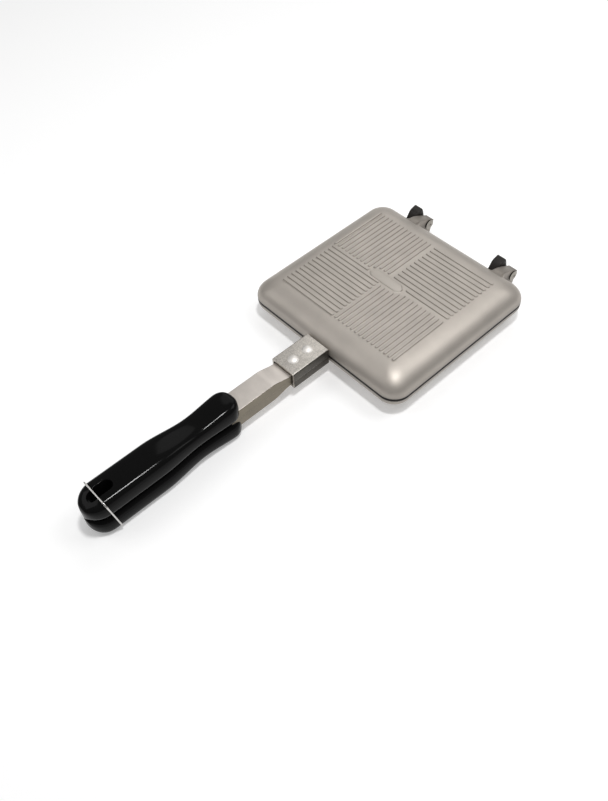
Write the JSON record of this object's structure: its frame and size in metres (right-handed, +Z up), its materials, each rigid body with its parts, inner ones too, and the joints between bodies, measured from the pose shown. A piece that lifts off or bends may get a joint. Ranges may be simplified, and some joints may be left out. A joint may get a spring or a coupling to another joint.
{
  "type": "pie iron",
  "caption": "Hinged toasting iron: two square grooved cast shells on riveted steel shanks with moulded grips and a swinging wire latch.",
  "frame": {"origin": "centre of the lower shell's flat outer face, which lies on the stove or table", "axes": "+Y from the grips to the hinge, +Z up through both shells, X along the hinge pins"},
  "size_m": [0.14, 0.3356, 0.0315],
  "materials": {
    "cast_aluminium": "satin, die cast, with a dark non-stick coat on the inner side",
    "bracket_steel": "folded sheet, satin",
    "shank_steel": "folded sheet, polished",
    "rivet_steel": "bright",
    "black_phenolic": "moulded, glossy",
    "screw_steel": "plated",
    "latch_wire": "bright drawn wire"
  },
  "bodies": {
    "lower_half": {"lower_plate": "cast_aluminium", "lower_bracket": "bracket_steel", "lower_shank": "shank_steel", "lower_front_rivet": "rivet_steel", "lower_rear_rivet": "rivet_steel", "lower_grip": "black_phenolic", "lower_grip_screw": "screw_steel", "left_hinge_pin": "rivet_steel", "right_hinge_pin": "rivet_steel"},
    "upper_half": {"upper_plate": "cast_aluminium", "upper_bracket": "bracket_steel", "upper_shank": "shank_steel", "upper_front_rivet": "rivet_steel", "upper_rear_rivet": "rivet_steel", "upper_grip": "black_phenolic", "upper_grip_screw": "screw_steel"},
    "latch": {"wire_latch": "latch_wire"}
  },
  "joints": [
    {"name": "lid_hinge", "type": "hinge", "parent": "lower_half", "child": "upper_half", "pos_m": [0, 0.0775, 0.01515], "axis": [-1, 0, 0], "range_deg": [0, 180]},
    {"name": "latch_swing", "type": "hinge", "parent": "lower_half", "child": "latch", "pos_m": [0, -0.2372, 0.0033], "axis": [1, 0, 0], "range_deg": [0, 80]}
  ],
  "couplings": [
    {"joint": "latch_swing", "follows": "lid_hinge", "ratio": 0.44}
  ]
}
